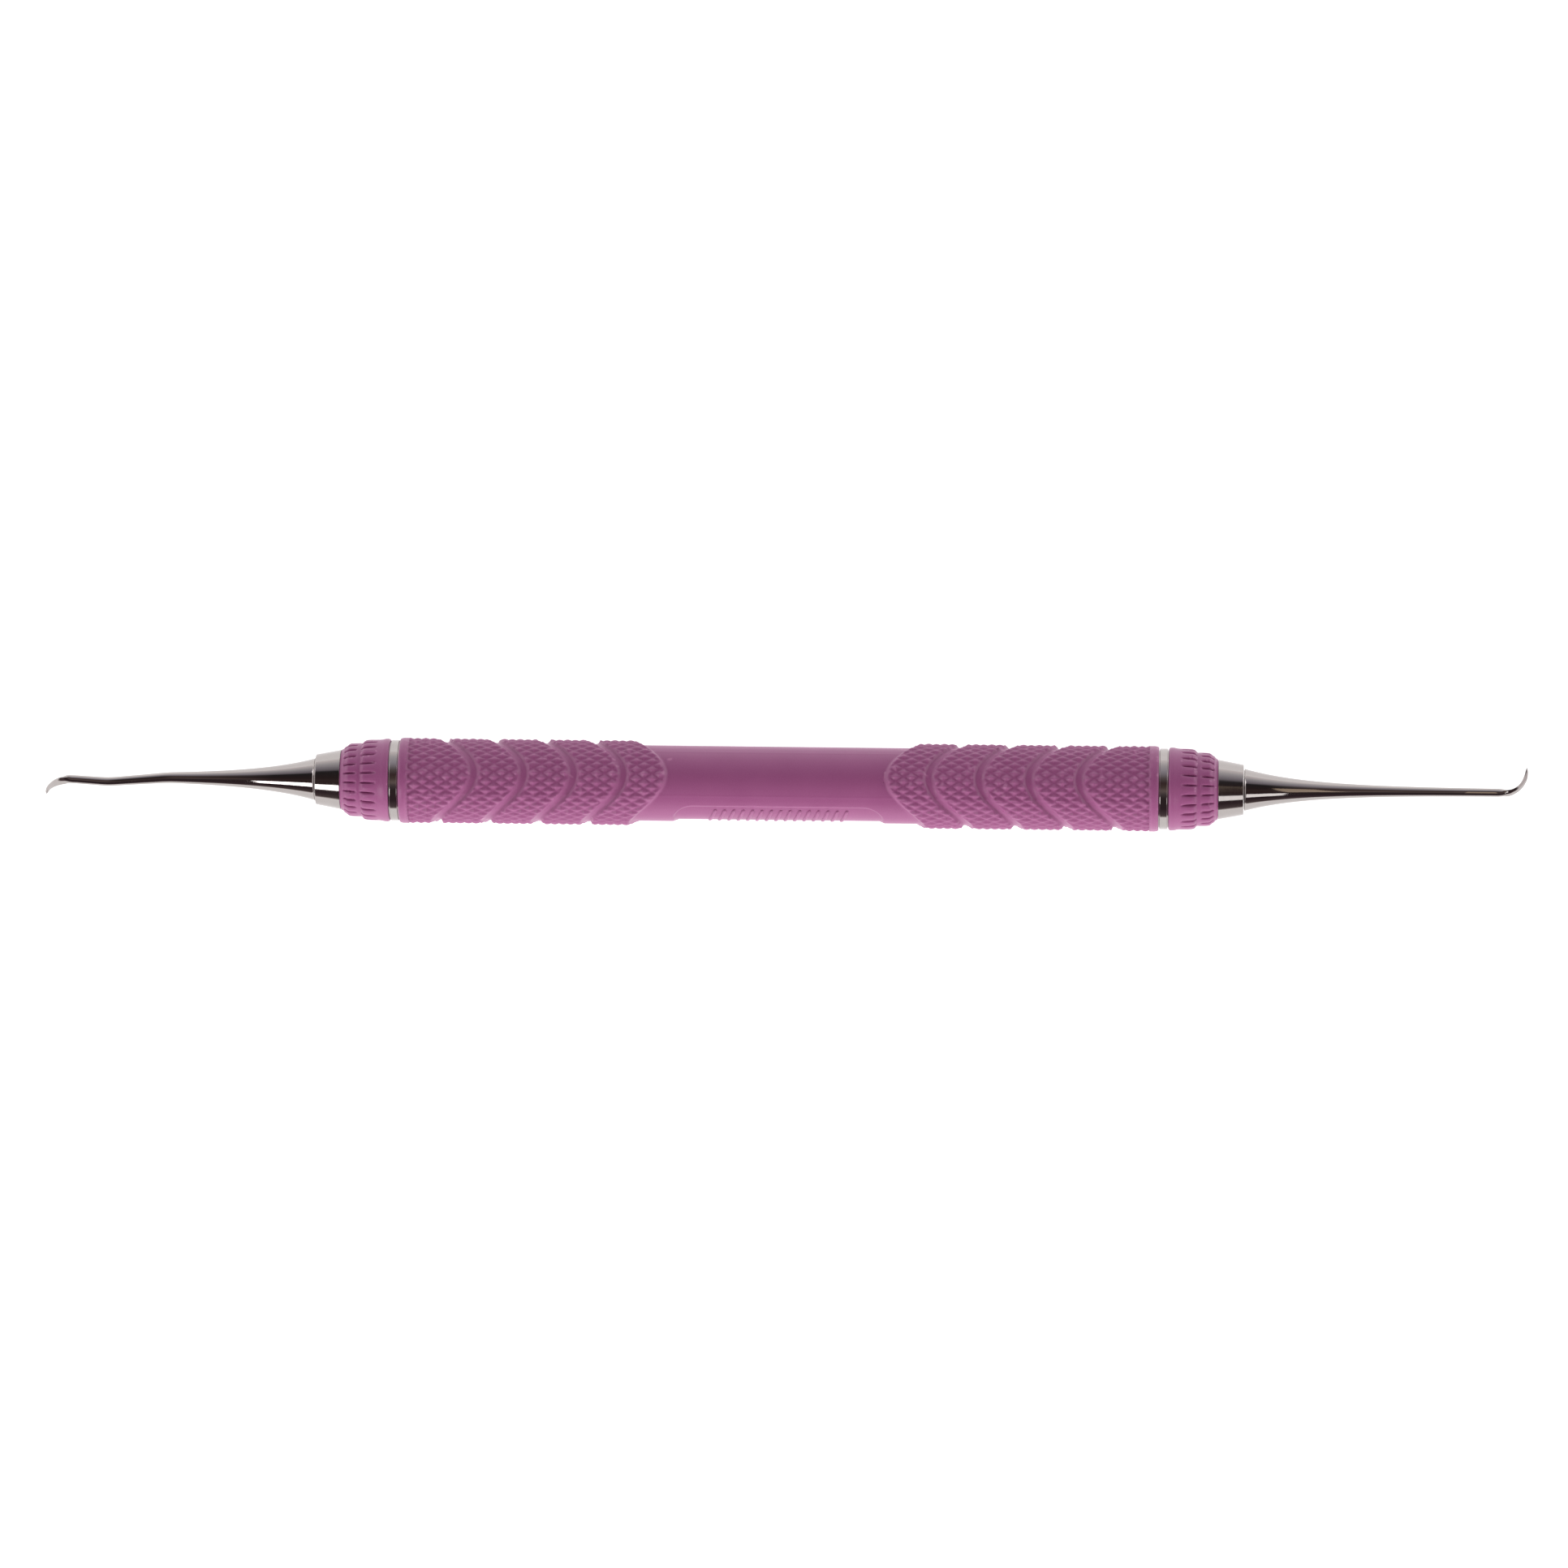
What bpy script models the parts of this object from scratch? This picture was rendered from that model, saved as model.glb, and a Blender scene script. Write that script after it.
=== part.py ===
"""Double-ended dental hand scaler with a large moulded grip over a steel core tube.

Metres, +Z up. X runs along the handle. The instrument lies on its side on the plane z = 0, and the origin
is under the middle of its overall length. Every piece is built around the handle's axis, centred on the
handle, and is parented to an empty that carries that axis to its place.
"""

import math

import bmesh
import bpy
import numpy as np
from mathutils import Vector

MM = 0.001

# Clearances
GAP = 0.1 * MM  # between pieces that touch on the real instrument

# Stations along the handle, measured from its middle
GRIP_HALF_LENGTH = 42.4 * MM
RING_WIDTH = 0.9 * MM
RING_START = GRIP_HALF_LENGTH + GAP
NOSE_START = RING_START + RING_WIDTH + GAP
NOSE_END = 48.95 * MM
FERRULE_FACE = 51.85 * MM
TUBE_HALF_LENGTH = 46.3 * MM
SPIGOT_LENGTH = 10.0 * MM
TANG_LENGTH = 12.0 * MM
LEFT_REACH = 82.1 * MM
RIGHT_REACH = 83.45 * MM

# Grip sleeve
GRIP_R = 4.77 * MM  # over the smooth end bands
LAND_R = 4.68 * MM  # mean radius of the textured lands
WAIST_R = 4.22 * MM  # smooth middle
END_BAND = 1.0 * MM
END_ROUND = 0.35 * MM
WAVE_PITCH = 5.57 * MM
WAVE_COUNT = 4
FIRST_WAVE = 17.33 * MM  # crest of the innermost groove
LAND_EDGE = 12.35 * MM  # crest of the edge between texture and waist
LAND_SLOPE = 0.7 * MM
WAVE_AMPLITUDE = 1.83 * MM
WAVE_LEAN = 0.33 * MM
WAVE_CREST_ANGLE = math.radians(10)
GROOVE_WIDTH = 1.35 * MM
GROOVE_FLOOR = 0.5 * MM
GROOVE_DEPTH = 0.4 * MM
PANEL_HALF_LENGTH = 11.8 * MM
PANEL_HALF_ARC = math.radians(42)
PANEL_ANGLE = math.radians(-78)
PANEL_CORNER = 2.3 * MM
PANEL_DEPTH = 0.25 * MM
PANEL_EDGE = 0.25 * MM

# Core tube, rings and ferrules
TUBE_R = 3.1 * MM
TUBE_BORE_R = 2.7 * MM
BORE_OVER_TUBE = TUBE_R + GAP
RING_R = 4.5 * MM
RING_CHAMFER = 0.1 * MM
SPIGOT_R = TUBE_BORE_R - GAP
NECK_R = 3.1 * MM
CONE_BASE_R = 3.33 * MM
CONE_TIP_R = 2.8 * MM
CONE_CHAMFER = 0.1 * MM
TANG_R = 1.2 * MM
TANG_BORE_R = TANG_R + GAP

# Nose sleeve: a collar behind two rows of cast bosses
COLLAR_R = 4.6 * MM
COLLAR_END = 44.75 * MM
REAR_ROW = (44.85 * MM, 46.6 * MM)
REAR_ROW_R = 4.45 * MM
FRONT_ROW = (46.8 * MM, 48.35 * MM)
FRONT_ROW_R = 4.05 * MM
NOSE_LIP_R = 3.5 * MM
SLOT_DEPTH = 0.35 * MM
SLOT_RUN = 0.3 * MM
BOSS_COUNT = 24

# Working ends
SHANK_ROOT_R = 2.37 * MM
SHANK_R = 0.42 * MM
FLARE_LENGTH = 7.1 * MM
FIRST_BEND = 16.6 * MM  # from the ferrule's face
SECOND_BEND = 4.1 * MM  # before the hook
BEND_ROUNDING = 0.9 * MM
OFFSET_OUT = 0.77 * MM
OFFSET_BACK = 0.41 * MM
LEFT_HOOK_LENGTH = 4.05 * MM  # along its curve
RIGHT_HOOK_LENGTH = 4.8 * MM
HOOK_TURN = math.radians(83)
LEFT_ROLL = math.radians(-45)

# The blade along the hook: (share of its length, height from back to face, width of the face), both in
# shank diameters
BLADE = (
    (0.0, 1.0, 1.0),
    (0.2, 0.84, 1.12),
    (0.35, 0.7, 1.22),
    (0.5, 0.6, 1.1),
    (0.65, 0.54, 0.8),
    (0.8, 0.46, 0.48),
    (0.92, 0.32, 0.26),
    (1.0, 0.065, 0.065),
)
GROUND_FROM = 0.06  # shares of the hook between which its section turns from round to three-sided
GROUND_BY = 0.27
GROUND_FLATNESS = 0.8  # 1 would leave sharp corners

SHANK_STATIONS = 30
SHANK_CROWDING = 1.35  # above 1, stations crowd towards the root
HOOK_STATIONS = 18
CURVE_STEPS = 400

# Facets round the axis
GRIP_SIDES = 64
RING_SIDES = 72
INNER_SIDES = 48
SHANK_SIDES = 24
CORNERS_PER_BOSS = 4

SHARP_ANGLE = math.radians(30)  # edges steeper than this shade as creases

# The underside of the grip is flat over this many facets to each side of the lowest point
RESTING_FACETS = 2
REST_HEIGHT = GRIP_R * math.cos(RESTING_FACETS * 2 * math.pi / GRIP_SIDES)
HANDLE_X = (LEFT_REACH - RIGHT_REACH) / 2

RESIN = ((0.255, 0.075, 0.178, 1.0), 0.45, 0.0)
POLISHED_STEEL = ((0.62, 0.60, 0.57, 1.0), 0.16, 1.0)
DRAWN_STEEL = ((0.50, 0.49, 0.47, 1.0), 0.35, 1.0)


def clear_scene():
    for obj in list(bpy.data.objects):
        bpy.data.objects.remove(obj, do_unlink=True)


def add_object(name, mesh_data, finish, axis_empty):
    """Links a finished mesh as one named piece with its own material, on the handle's axis."""
    bmesh.ops.recalc_face_normals(mesh_data, faces=mesh_data.faces)
    mesh = bpy.data.meshes.new(name)
    mesh_data.to_mesh(mesh)
    mesh_data.free()
    mesh.shade_smooth()
    mesh.set_sharp_from_angle(angle=SHARP_ANGLE)
    color, roughness, metallic = finish
    material = bpy.data.materials.new(name)
    material.use_nodes = True
    shader = material.node_tree.nodes["Principled BSDF"]
    shader.inputs["Base Color"].default_value = color
    shader.inputs["Roughness"].default_value = roughness
    shader.inputs["Metallic"].default_value = metallic
    mesh.materials.append(material)
    obj = bpy.data.objects.new(name, mesh)
    obj.parent = axis_empty
    bpy.context.scene.collection.objects.link(obj)
    return obj


def around_axis(x, radius, angle):
    """A point at this radius, its angle counted from +Z towards +Y."""
    return Vector((x, radius * math.sin(angle), radius * math.cos(angle)))


def side_angles(sides):
    """Angles of the facet corners, one of them straight down."""
    return [math.pi + 2 * math.pi * i / sides for i in range(sides)]


def loft(rings, closed_end_to_end):
    """Bridges rings of equal count in order. They either close on the first ring or end in two caps."""
    mesh_data = bmesh.new()
    loops = [[mesh_data.verts.new(point) for point in ring] for ring in rings]
    pairs = list(zip(loops, loops[1:]))
    if closed_end_to_end:
        pairs.append((loops[-1], loops[0]))
    for near, far in pairs:
        for i in range(len(near)):
            j = (i + 1) % len(near)
            mesh_data.faces.new((near[i], near[j], far[j], far[i]))
    if not closed_end_to_end:
        mesh_data.faces.new(loops[0])
        mesh_data.faces.new(loops[-1])
    return mesh_data


def turned(profile, sides):
    """Turns a closed outline of (x, radius) points about the handle's axis."""
    return loft([[around_axis(x, radius, a) for a in side_angles(sides)] for x, radius in profile], True)


# Grip sleeve


def wave(angle):
    """How far a groove runs back from its crest at this angle, towards the handle's end."""
    swing = WAVE_AMPLITUDE * (1 - math.cos(2 * (angle - WAVE_CREST_ANGLE)))
    return swing - WAVE_LEAN * math.sin(angle)


def panel_recess(x, angle):
    """Depth of the recessed panel here, a rounded rectangle wrapped round the waist."""
    turn = math.remainder(angle - PANEL_ANGLE, 2 * math.pi)
    across = abs(turn) * WAIST_R - (PANEL_HALF_ARC * WAIST_R - PANEL_CORNER)
    along = abs(x) - (PANEL_HALF_LENGTH - PANEL_CORNER)
    outside = math.hypot(max(across, 0), max(along, 0)) + min(max(across, along), 0) - PANEL_CORNER
    return PANEL_DEPTH * min(max(-outside / PANEL_EDGE, 0), 1)


def textured_rows():
    """(distance from the crest line, radius) of each row from the waist's edge to the last groove."""
    rows = [(LAND_EDGE, WAIST_R), (LAND_EDGE + LAND_SLOPE, LAND_R)]
    for i in range(WAVE_COUNT):
        middle = FIRST_WAVE + i * WAVE_PITCH
        rows.append((middle - GROOVE_WIDTH / 2, LAND_R))
        rows.append((middle - GROOVE_FLOOR / 2, LAND_R - GROOVE_DEPTH))
        rows.append((middle + GROOVE_FLOOR / 2, LAND_R - GROOVE_DEPTH))
        rows.append((middle + GROOVE_WIDTH / 2, LAND_R))
    return rows


def resting(point):
    """Flattens the lowest strip, so that the handle lies still."""
    return Vector((point.x, point.y, max(point.z, -REST_HEIGHT)))


def grip_rings():
    angles = side_angles(GRIP_SIDES)
    waist = [PANEL_HALF_LENGTH, PANEL_HALF_LENGTH - PANEL_EDGE, PANEL_HALF_LENGTH - PANEL_CORNER]
    half = []
    for x in reversed(waist):
        half.append([(x, WAIST_R - panel_recess(x, a)) for a in angles])
    for distance, radius in textured_rows():
        half.append([(distance + wave(a), radius) for a in angles])
    band_start = GRIP_HALF_LENGTH - END_BAND
    ends = [
        (band_start - GAP, LAND_R),
        (band_start, GRIP_R),
        (GRIP_HALF_LENGTH - END_ROUND, GRIP_R),
        (GRIP_HALF_LENGTH, GRIP_R - END_ROUND / 2),
        (GRIP_HALF_LENGTH, BORE_OVER_TUBE),
    ]
    for x, radius in ends:
        half.append([(x, radius) for _ in angles])
    rings = []
    for ring in reversed(half):
        rings.append([resting(around_axis(-x, r, a)) for (x, r), a in zip(ring, angles)])
    for ring in half:
        rings.append([resting(around_axis(x, r, a)) for (x, r), a in zip(ring, angles)])
    return rings


def make_grip_sleeve(axis_empty):
    return add_object("grip_sleeve", loft(grip_rings(), True), RESIN, axis_empty)


# Steel core


def make_core_tube(axis_empty):
    ends = (-TUBE_HALF_LENGTH, TUBE_HALF_LENGTH)
    profile = [(ends[0], TUBE_R), (ends[1], TUBE_R), (ends[1], TUBE_BORE_R), (ends[0], TUBE_BORE_R)]
    return add_object("core_tube", turned(profile, INNER_SIDES), DRAWN_STEEL, axis_empty)


def make_spacer_ring(side, axis_empty):
    start, end = RING_START, RING_START + RING_WIDTH
    profile = [
        (start, BORE_OVER_TUBE),
        (start, RING_R - RING_CHAMFER),
        (start + RING_CHAMFER, RING_R),
        (end - RING_CHAMFER, RING_R),
        (end, RING_R - RING_CHAMFER),
        (end, BORE_OVER_TUBE),
    ]
    return add_object(f"{side}_spacer_ring", turned(profile, RING_SIDES), POLISHED_STEEL, axis_empty)


def make_ferrule(side, axis_empty):
    """A turned socket: cone outside, neck under the nose sleeve, spigot inside the core tube."""
    shoulder = TUBE_HALF_LENGTH + GAP
    spigot_end = shoulder - SPIGOT_LENGTH
    profile = [
        (spigot_end, TANG_BORE_R),
        (spigot_end, SPIGOT_R),
        (shoulder, SPIGOT_R),
        (shoulder, NECK_R),
        (NOSE_END + GAP, NECK_R),
        (NOSE_END + GAP, CONE_BASE_R),
        (FERRULE_FACE - CONE_CHAMFER, CONE_TIP_R),
        (FERRULE_FACE, CONE_TIP_R - CONE_CHAMFER),
        (FERRULE_FACE, TANG_BORE_R),
    ]
    return add_object(f"{side}_ferrule", turned(profile, INNER_SIDES), POLISHED_STEEL, axis_empty)


# Nose sleeve


def boss_row(span, radius):
    """Rows over one ring of bosses: (x, radius, slot depth)."""
    start, end = span
    return [
        (start, radius, 0),
        (start + SLOT_RUN, radius, SLOT_DEPTH),
        (end - SLOT_RUN, radius, SLOT_DEPTH),
        (end, radius, 0),
    ]


def make_nose_sleeve(side, axis_empty):
    rows = [
        (NOSE_START, BORE_OVER_TUBE, 0),
        (NOSE_START, COLLAR_R - END_ROUND / 2, 0),
        (NOSE_START + END_ROUND, COLLAR_R, 0),
        (COLLAR_END, COLLAR_R, 0),
    ]
    rows += boss_row(REAR_ROW, REAR_ROW_R)
    rows += boss_row(FRONT_ROW, FRONT_ROW_R)
    rows += [(NOSE_END, NOSE_LIP_R, 0), (NOSE_END, BORE_OVER_TUBE, 0)]
    rings = []
    for x, radius, depth in rows:
        ring = []
        for i, angle in enumerate(side_angles(BOSS_COUNT * CORNERS_PER_BOSS)):
            cut = 0 if i % CORNERS_PER_BOSS else depth
            ring.append(around_axis(x, radius - cut, angle))
        rings.append(ring)
    return add_object(f"{side}_nose_sleeve", loft(rings, True), RESIN, axis_empty)


# Working ends


def shank_offset(x, hook_start):
    """Sideways offset of the shank: straight runs between its bends."""
    first = FERRULE_FACE + FIRST_BEND
    second = hook_start - SECOND_BEND
    if x < first:
        return 0.0
    if x < second:
        return OFFSET_OUT * (x - first) / (second - first)
    back = min((x - second) / SECOND_BEND, 1)
    return OFFSET_OUT + (OFFSET_BACK - OFFSET_OUT) * back


def rounded_offset(x, hook_start):
    """The same offset with its bends rounded, as the mean over a short run."""
    steps = 9
    runs = [BEND_ROUNDING * (i / (steps - 1) - 0.5) * 2 for i in range(steps)]
    return sum(shank_offset(x + run, hook_start) for run in runs) / steps


def shank_radius(x):
    run = max(x - FERRULE_FACE - GAP, 0)
    return SHANK_R + (SHANK_ROOT_R - SHANK_R) * math.exp(-run / FLARE_LENGTH)


def hook_curve(length):
    """(share, x, y, heading) of points along the hook, whose turn is sharpest half way."""
    share = np.linspace(0, 1, CURVE_STEPS + 1)
    heading = HOOK_TURN * share**2 * (3 - 2 * share)
    step = length / CURVE_STEPS
    x = np.concatenate([[0], np.cumsum(np.cos((heading[1:] + heading[:-1]) / 2)) * step])
    y = np.concatenate([[0], np.cumsum(np.sin((heading[1:] + heading[:-1]) / 2)) * step])
    return share, x, y, heading


def hook_start_for(reach, length):
    """Where the hook leaves the shank, so that the back of its blade ends at reach."""
    share, x, _, heading = hook_curve(length)
    shares, heights, _ = zip(*BLADE)
    back = np.array([-min(n for n, _ in blade_section(s)) for s in share])
    overhang = back * np.interp(share, shares, heights) * SHANK_R * np.sin(heading)
    return reach - float(np.max(x + overhang))


def tip_centreline(hook_start, length, hand):
    """(point, share of the hook) from the shank's root to the blade's point: along X, hooking to +Y."""
    start = FERRULE_FACE + GAP
    places = []
    for i in range(SHANK_STATIONS):
        x = start + (hook_start - start) * (i / SHANK_STATIONS) ** SHANK_CROWDING
        places.append((x, 0.0, 0.0))
    shares, curve_x, curve_y, _ = hook_curve(length)
    for i in range(HOOK_STATIONS + 1):
        share = i / HOOK_STATIONS
        x = hook_start + float(np.interp(share, shares, curve_x))
        places.append((x, float(np.interp(share, shares, curve_y)), share))
    return [(Vector((x, y, hand * rounded_offset(x, hook_start))), share) for x, y, share in places]


def blade_section(share):
    """Corners (towards the face, across) of the section here, 2 apart at most each way."""
    ground = min(max((share - GROUND_FROM) / (GROUND_BY - GROUND_FROM), 0), 1) * GROUND_FLATNESS
    third = 2 * math.pi / 3
    corners = []
    for i in range(SHANK_SIDES):
        turn = 2 * math.pi * i / SHANK_SIDES
        nearest_side = max(math.cos(turn), math.cos(turn - third), math.cos(turn + third))
        radius = 1 - ground * (1 - 0.5 / nearest_side)
        corners.append((radius * math.cos(turn), radius * math.sin(turn)))
    face, back = max(n for n, _ in corners), min(n for n, _ in corners)
    half_width = max(b for _, b in corners)
    return [(n / (face - back) * 2, b / half_width) for n, b in corners]


def tip_rings(reach, length, hand):
    hook_start = hook_start_for(reach, length)
    line = tip_centreline(hook_start, length, hand)
    shares, heights, widths = zip(*BLADE)
    rings = []
    for i, (point, share) in enumerate(line):
        ahead = line[min(i + 1, len(line) - 1)][0] - line[max(i - 1, 0)][0]
        face = Vector((0, 0, 1)).cross(ahead).normalized()
        across = ahead.normalized().cross(face)
        radius = shank_radius(min(point.x, hook_start))
        half_height = radius * float(np.interp(share, shares, heights))
        half_width = radius * float(np.interp(share, shares, widths))
        section = blade_section(share)
        rings.append([point + face * n * half_height + across * b * half_width for n, b in section])
    return rings


def make_tip(side, reach, length, hand, axis_empty):
    """Forged shank and blade in one piece, with the tang that is fixed in the ferrule's bore."""
    rings = tip_rings(reach, length, hand)
    root = FERRULE_FACE + GAP
    turns = [2 * math.pi * i / SHANK_SIDES for i in range(SHANK_SIDES)]
    tang = []
    for x in (root - TANG_LENGTH, root):
        tang.append([Vector((x, TANG_R * math.cos(t), TANG_R * math.sin(t))) for t in turns])
    return add_object(f"{side}_tip", loft(tang + rings, False), POLISHED_STEEL, axis_empty)


def main():
    clear_scene()
    axis_empty = bpy.data.objects.new("handle_axis", None)
    axis_empty.location = (HANDLE_X, 0, REST_HEIGHT)
    bpy.context.scene.collection.objects.link(axis_empty)
    make_grip_sleeve(axis_empty)
    make_core_tube(axis_empty)
    for side in ("left", "right"):
        pieces = [
            make_spacer_ring(side, axis_empty),
            make_nose_sleeve(side, axis_empty),
            make_ferrule(side, axis_empty),
        ]
        if side == "left":
            for piece in pieces:
                piece.rotation_euler = (0, 0, math.pi)
    make_tip("right", RIGHT_REACH, RIGHT_HOOK_LENGTH, 1, axis_empty)
    left_tip = make_tip("left", LEFT_REACH, LEFT_HOOK_LENGTH, -1, axis_empty)
    left_tip.rotation_euler = (LEFT_ROLL, 0, math.pi)


main()
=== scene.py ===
"""Looks of the double-ended dental hand scaler: moulded grip and nose sleeves, turned steel, forged tips.

Everything is in metres in the row's frame. Shapes are worked out round the handle's axis: a station is a
distance along X from the handle's middle, and an angle is counted from +Z towards +Y.
"""

import math

import bpy
import numpy as np
from mathutils import Matrix, Vector


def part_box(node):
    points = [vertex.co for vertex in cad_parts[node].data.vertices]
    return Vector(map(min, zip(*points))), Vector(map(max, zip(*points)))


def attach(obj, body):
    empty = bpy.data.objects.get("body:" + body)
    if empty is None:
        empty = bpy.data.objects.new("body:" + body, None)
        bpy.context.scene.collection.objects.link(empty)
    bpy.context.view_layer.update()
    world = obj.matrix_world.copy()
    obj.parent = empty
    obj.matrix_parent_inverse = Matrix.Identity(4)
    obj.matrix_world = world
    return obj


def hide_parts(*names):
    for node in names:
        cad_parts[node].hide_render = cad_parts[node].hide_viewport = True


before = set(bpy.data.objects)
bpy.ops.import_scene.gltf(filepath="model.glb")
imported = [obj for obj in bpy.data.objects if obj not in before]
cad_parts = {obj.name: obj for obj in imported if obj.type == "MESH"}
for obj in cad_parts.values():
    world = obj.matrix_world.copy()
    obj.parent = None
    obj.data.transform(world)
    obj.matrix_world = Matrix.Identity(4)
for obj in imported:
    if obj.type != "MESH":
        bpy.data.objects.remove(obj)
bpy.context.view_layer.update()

MM = 0.001


def station_span(node):
    """How far from the handle's middle a node starts and ends, on its own side."""
    low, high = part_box(node)
    near = min(abs(low.x - AXIS.x), abs(high.x - AXIS.x))
    return near, max(abs(low.x - AXIS.x), abs(high.x - AXIS.x))


tube_low, tube_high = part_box("core_tube")
AXIS = (tube_low + tube_high) / 2
TUBE_R = (tube_high.z - tube_low.z) / 2
GRIP_END = (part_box("grip_sleeve")[1].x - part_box("grip_sleeve")[0].x) / 2
GRIP_R = (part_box("grip_sleeve")[1].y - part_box("grip_sleeve")[0].y) / 2
RING_START, RING_END = station_span("right_spacer_ring")
RING_R = (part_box("right_spacer_ring")[1].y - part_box("right_spacer_ring")[0].y) / 2
NOSE_START, NOSE_END = station_span("right_nose_sleeve")
SPIGOT_END, FERRULE_FACE = station_span("right_ferrule")
LEFT_REACH = station_span("left_tip")[1]
RIGHT_REACH = station_span("right_tip")[1]
TUBE_END = station_span("core_tube")[1]

CLEARANCE = 0.1 * MM  # between neighbouring solids
STEP_REACH = CLEARANCE - 0.02 * MM  # how far a lower step of a piece reaches into that clearance
BORE_R = TUBE_R + CLEARANCE

# Grip
WAIST_R = 4.22 * MM
KNURL_DEPTH = 0.26 * MM
KNURL_PITCH = 1.766 * MM
KNURL_COUNT = 28
COLUMNS_PER_DIAMOND = 8
KNURL_PEAK = 40.5 * MM  # station of one peak in the rows next to the top line
PEAK_SOFTNESS = 0.08
END_BAND = 1.0 * MM
END_ROUND = (0.5 * MM, 0.2 * MM)  # along the axis, and inwards
WAVE_PITCH = 5.57 * MM
WAVE_COUNT = 4
FIRST_WAVE = 17.33 * MM
LAND_EDGE = 12.35 * MM
LAND_SLOPE = 0.8 * MM
WAVE_AMPLITUDE = 1.83 * MM
WAVE_LEAN = 0.33 * MM
WAVE_CREST_ANGLE = math.radians(10)
RIGHT_WAVE_SHIFT = 0.38 * MM  # the right end's waves stand this much nearer the middle
GROOVE_HALF_WIDTH = 0.76 * MM
GROOVE_SKEW = 0.32 * MM
GROOVE_DEPTH = 0.47 * MM
INNER_WALL = 5.0  # exponents of the groove's section: a steep wall towards the middle of the handle,
OUTER_WALL = 2.2  # and a gentle one towards its end
PARTING_ANGLES = [math.radians(a) for a in (-19.3, 56, 125, 197)]
PARTING_HEIGHT = 0.025 * MM
PARTING_HALF_WIDTH = 0.07 * MM
MOULD_SHIFT = 0.25  # of a knurl period, between the two halves of the mould
PANEL_HALF_LENGTH = 11.8 * MM
PANEL_HALF_ARC = math.radians(42)
PANEL_ANGLE = math.radians(-78)
PANEL_CORNER = 2.3 * MM
PANEL_DEPTH = 0.25 * MM
PANEL_EDGE = 0.3 * MM
PIP_COUNT = 15
PIP_SPACING = 1.05 * MM
PIP_HALF_LENGTH = 1.4 * MM
PIP_HALF_WIDTH = 0.22 * MM
PIP_HEIGHT = 0.17 * MM
PIP_SLANT = 0.28
PIP_ANGLE = math.radians(-66)

# Rows of points along one half of the grip
MIDDLE_ROWS = 7
PANEL_END_ROWS = 17
GROOVE_ROWS = 152
LAND_ROWS = 34

# Nose sleeve
BOSS_COUNT = 24
COLUMNS_PER_BOSS = 16
SLEEVE_ROWS = 96
SLOT_SHARE = 0.18  # half width of a slot, as a share of the way to the middle of the boss beside it
LIP_R = 3.27 * MM  # of the step that reaches close to the ferrule
FIRST_SLOT = {"left": math.radians(-4.5), "right": math.radians(-9.5)}

# Ring and ferrule
RING_PROUD = 0.02 * MM  # more than the solid ring
RING_STEP = 0.22 * MM
RING_ROUND = 0.1 * MM
CONE_BASE_R = 3.335 * MM
CONE_TIP_R = 2.805 * MM
NECK_R = 3.1 * MM
SPIGOT_R = 2.6 * MM
TANG_R = 1.2 * MM
TANG_LENGTH = 12.0 * MM

# Working ends
SHANK_ROOT_R = 2.37 * MM
ROOT_CHAMFER = 0.05 * MM
ROOT_STEP = 0.15 * MM
SHANK_R = 0.42 * MM
FLARE_LENGTH = 7.1 * MM
FIRST_BEND = 16.6 * MM  # from the ferrule's face
SECOND_BEND = 4.1 * MM  # before the hook
BEND_ROUNDING = 0.9 * MM
OFFSET_OUT = 0.77 * MM
OFFSET_BACK = 0.41 * MM
LEFT_HOOK_LENGTH = 4.05 * MM  # along its curve
RIGHT_HOOK_LENGTH = 4.8 * MM
HOOK_TURN = math.radians(83)
LEFT_ROLL = math.radians(-45)
TIPS = {  # how far it reaches, the length of its hook, and the way its shank bends
    "left": (LEFT_REACH, LEFT_HOOK_LENGTH, -1),
    "right": (RIGHT_REACH, RIGHT_HOOK_LENGTH, 1),
}

# The blade along the hook: (share of its length, height from back to face, width of the face), both in
# shank diameters
BLADE = np.array(
    [
        (0.0, 1.0, 1.0),
        (0.2, 0.84, 1.12),
        (0.35, 0.7, 1.22),
        (0.5, 0.6, 1.1),
        (0.65, 0.54, 0.8),
        (0.8, 0.46, 0.48),
        (0.92, 0.32, 0.26),
        (1.0, 0.065, 0.065),
    ]
)
GROUND_FROM = 0.06  # shares of the hook between which its section turns from round to three-sided
GROUND_BY = 0.27
GROUND_FLATNESS = 0.8  # 1 would leave sharp corners

TURNED_SIDES = 160
TIP_SIDES = 48
SHANK_ROWS = 130
SHANK_CROWDING = 1.15  # above 1, rows crowd towards the root
HOOK_ROWS = 72

STEEL_COLOR = (0.45, 0.415, 0.405)


# Mesh helpers


def add_mesh(name, points, faces, sharp_angle=None):
    """A smooth-shaded mesh object from arrays of points and faces, all faces with as many corners."""
    points = np.asarray(points, np.float32).reshape(-1, 3)
    faces = np.asarray(faces, np.int32)
    mesh = bpy.data.meshes.new(name)
    mesh.vertices.add(len(points))
    mesh.vertices.foreach_set("co", points.ravel())
    mesh.loops.add(faces.size)
    mesh.loops.foreach_set("vertex_index", faces.ravel())
    mesh.polygons.add(len(faces))
    mesh.polygons.foreach_set("loop_start", np.arange(len(faces), dtype=np.int32) * faces.shape[1])
    mesh.update(calc_edges=True)
    mesh.shade_smooth()
    if sharp_angle is not None:
        mesh.set_sharp_from_angle(angle=sharp_angle)
    obj = bpy.data.objects.new(name, mesh)
    bpy.context.scene.collection.objects.link(obj)
    return obj


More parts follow.
